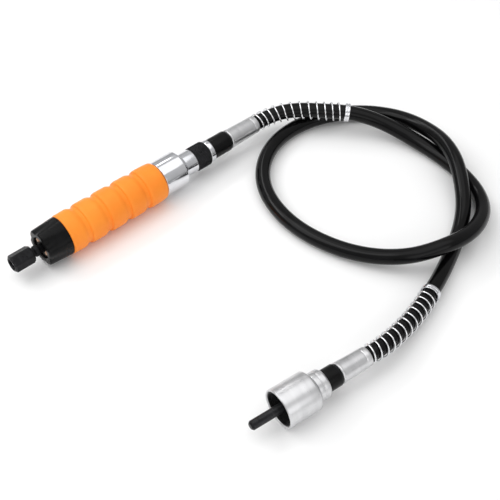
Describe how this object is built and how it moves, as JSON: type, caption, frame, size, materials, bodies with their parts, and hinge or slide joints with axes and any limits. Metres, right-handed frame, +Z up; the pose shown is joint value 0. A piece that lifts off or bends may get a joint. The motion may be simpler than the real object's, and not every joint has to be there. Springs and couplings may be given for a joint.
{
  "type": "reciprocating carving handpiece with flex shaft",
  "caption": "Power-carving handpiece with a grooved rubber grip, on a looped flexible drive hose that ends in strain-relief springs and a threaded motor bell.",
  "frame": {"origin": "on the table, under the middle of the box of everything but the hose and its core", "axes": "+Z up from the table, the handpiece's axis along X with its chuck at -X, the hose's loop at +X"},
  "size_m": [0.3486, 0.2552, 0.033],
  "materials": {
    "black_steel": "blackened, satin",
    "black_plastic": "moulded, satin",
    "orange_rubber": "soft, matt",
    "polished_steel": "polished",
    "satin_aluminium": "turned, satin",
    "brass": "turned",
    "bronze": "sintered",
    "plain_steel": "ground",
    "spring_wire": "bright drawn",
    "hose_rubber": "glossy",
    "core_wire": "wound wire, greased"
  },
  "bodies": {
    "main": {"return_spring": "plain_steel", "nose_cap": "black_plastic", "nose_bush": "bronze", "nose_screw_1": "brass", "nose_screw_2": "brass", "nose_screw_3": "brass", "grip_sleeve": "orange_rubber", "inner_barrel": "satin_aluminium", "rear_housing": "polished_steel", "cam_bearing_front": "plain_steel", "cam_bearing_rear": "plain_steel", "stop_ring": "polished_steel", "hand_connector": "black_plastic", "hand_ferrule": "satin_aluminium", "bell_collar": "satin_aluminium", "shaft_bearing": "plain_steel", "bearing_clip": "plain_steel", "bearing_carrier": "satin_aluminium", "motor_sleeve": "black_plastic", "motor_ferrule": "satin_aluminium", "hose_sheath": "hose_rubber", "flex_core": "core_wire", "hand_spring": "spring_wire", "hand_spring_collar": "polished_steel", "motor_spring": "spring_wire", "motor_spring_collar": "polished_steel"},
    "drive": {"drive_shaft": "black_steel", "drive_boss": "black_steel"},
    "cam": {"cam_shaft": "plain_steel", "core_key": "plain_steel"},
    "bell": {"bell_housing": "satin_aluminium", "bell_lining": "black_plastic"},
    "union": {"coupling_nut": "black_steel"},
    "holder": {"tool_holder": "black_steel"},
    "collet": {"collet": "plain_steel"},
    "nut": {"chuck_nut": "black_steel"},
    "striker": {"striker": "plain_steel"}
  },
  "joints": [
    {"name": "shaft_spin", "type": "hinge", "parent": "main", "child": "drive", "pos_m": [-0.08663, -0.11043, 0.0148], "axis": [0.9957, -0.0924, 0], "continuous": true},
    {"name": "cam_spin", "type": "hinge", "parent": "main", "child": "cam", "pos_m": [-0.05413, 0.11107, 0.0165], "axis": [-1, 0, 0], "continuous": true},
    {"name": "bell_spin", "type": "hinge", "parent": "main", "child": "bell", "pos_m": [-0.08663, -0.11043, 0.0148], "axis": [0.9957, -0.0924, 0], "continuous": true},
    {"name": "union_turn", "type": "hinge", "parent": "main", "child": "union", "pos_m": [0.02387, 0.11107, 0.0165], "axis": [1, 0, 0], "range_deg": [0, 720]},
    {"name": "holder_slide", "type": "slide", "parent": "main", "child": "holder", "axis": [1, 0, 0], "range_m": [0, 0.003], "stiffness_N_per_m": 1000, "springref_m": -0.002, "deforming": ["return_spring"]},
    {"name": "collet_slide", "type": "slide", "parent": "holder", "child": "collet", "axis": [-1, 0, 0], "range_m": [0, 0.002]},
    {"name": "nut_turn", "type": "hinge", "parent": "collet", "child": "nut", "pos_m": [-0.14613, 0.11107, 0.0165], "axis": [-1, 0, 0], "range_deg": [0, 720]},
    {"name": "striker_slide", "type": "slide", "parent": "main", "child": "striker", "axis": [1, 0, 0], "range_m": [-0.003, 0]}
  ],
  "couplings": [
    {"joint": "shaft_spin", "follows": "cam_spin", "ratio": 1},
    {"joint": "collet_slide", "follows": "nut_turn", "m_per_rad": 0.00015915}
  ]
}
